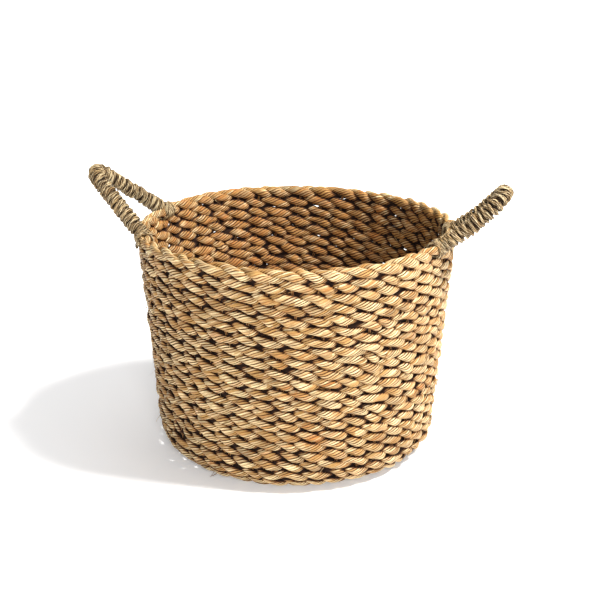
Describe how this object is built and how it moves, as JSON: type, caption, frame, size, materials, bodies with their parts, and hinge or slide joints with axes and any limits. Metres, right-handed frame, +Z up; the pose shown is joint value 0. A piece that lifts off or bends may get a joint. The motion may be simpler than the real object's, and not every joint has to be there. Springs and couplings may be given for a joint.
{
  "type": "storage basket",
  "caption": "Round open storage basket of twined seagrass courses over upright stakes, narrowing to a flat base, with a cord-wrapped rope handle on each side.",
  "frame": {"origin": "centre of the base, on the floor that the basket stands on", "axes": "+Z up through the open top; one handle is near -X and the other near +X, each turned 6 degrees towards the front, -Y"},
  "size_m": [0.4204, 0.31, 0.2886],
  "materials": {
    "wall_weave": "dry twisted seagrass, slight sheen",
    "base_weave": "dry twisted seagrass, matt",
    "stake": "stiff seagrass cord",
    "handle_cord": "thin twisted cord, slight sheen",
    "handle_core": "thick seagrass rope"
  },
  "bodies": {
    "basket": {"base_centre": "base_weave", "base_course_01": "base_weave", "base_course_02": "base_weave", "base_course_03": "base_weave", "base_course_04": "base_weave", "base_course_05": "base_weave", "base_course_06": "base_weave", "base_course_07": "base_weave", "base_course_08": "base_weave", "corner_course_01": "wall_weave", "corner_course_02": "wall_weave", "corner_course_03": "wall_weave", "left_handle_back_lashing": "handle_cord", "left_handle_front_lashing": "handle_cord", "right_handle_back_lashing": "handle_cord", "right_handle_front_lashing": "handle_cord", "rim_course": "wall_weave", "stakes": "stake", "wall_course_01": "wall_weave", "wall_course_02": "wall_weave", "wall_course_03": "wall_weave", "wall_course_04": "wall_weave", "wall_course_05": "wall_weave", "wall_course_06": "wall_weave", "wall_course_07": "wall_weave", "wall_course_08": "wall_weave", "wall_course_09": "wall_weave", "wall_course_10": "wall_weave", "wall_course_11": "wall_weave", "wall_course_12": "wall_weave", "wall_course_13": "wall_weave", "wall_course_14": "wall_weave", "wall_course_15": "wall_weave", "wall_course_16": "wall_weave", "wall_course_17": "wall_weave", "wall_course_18": "wall_weave"},
    "left_handle": {"left_handle_core": "handle_core", "left_handle_wrap": "handle_cord"},
    "right_handle": {"right_handle_core": "handle_core", "right_handle_wrap": "handle_cord"}
  },
  "joints": [
    {"name": "left_handle_tilt", "type": "hinge", "parent": "basket", "child": "left_handle", "pos_m": [-0.13961, -0.01467, 0.2267], "axis": [-0.1045, 0.9945, 0], "range_deg": [-25, 60]},
    {"name": "right_handle_tilt", "type": "hinge", "parent": "basket", "child": "right_handle", "pos_m": [0.14606, -0.01535, 0.2267], "axis": [-0.1045, -0.9945, 0], "range_deg": [-25, 60]}
  ]
}
